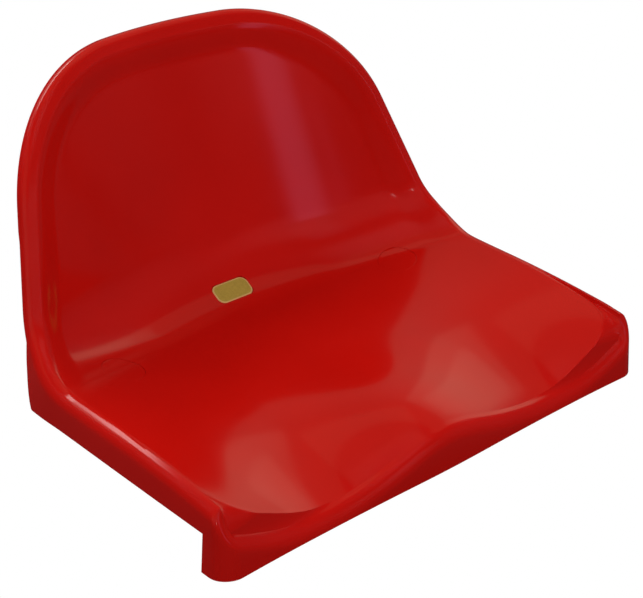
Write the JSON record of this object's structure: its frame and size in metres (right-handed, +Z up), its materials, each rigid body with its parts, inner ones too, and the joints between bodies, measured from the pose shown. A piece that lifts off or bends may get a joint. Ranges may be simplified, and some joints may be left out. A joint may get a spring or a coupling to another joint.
{
  "type": "stadium seat",
  "caption": "Low-back moulded stadium seat shell with thigh channels, a front apron, a bare number plate and capped nuts over its stud fixings.",
  "frame": {"origin": "midway between the two fixing holes, level with the bottom edge of the side skirts", "axes": "+X to the right as seen from the front, +Y towards the back rest, +Z up"},
  "size_m": [0.4408, 0.3576, 0.261],
  "materials": {
    "shell_plastic": "glossy injection-moulded red",
    "cap_plastic": "glossy injection-moulded red, a shade deeper",
    "plate_metal": "gold anodised, satin with bevelled edge",
    "adhesive": "matt foam film",
    "washer_rubber": "matt black",
    "zinc_steel": "bright zinc plated"
  },
  "bodies": {
    "root": {"seat_shell": "shell_plastic", "number_plate": "plate_metal", "plate_adhesive": "adhesive", "sealing_washer_left": "washer_rubber", "flat_washer_left": "zinc_steel", "lock_nut_left": "zinc_steel", "fixing_cap_left": "cap_plastic", "sealing_washer_right": "washer_rubber", "flat_washer_right": "zinc_steel", "lock_nut_right": "zinc_steel", "fixing_cap_right": "cap_plastic"}
  },
  "joints": []
}
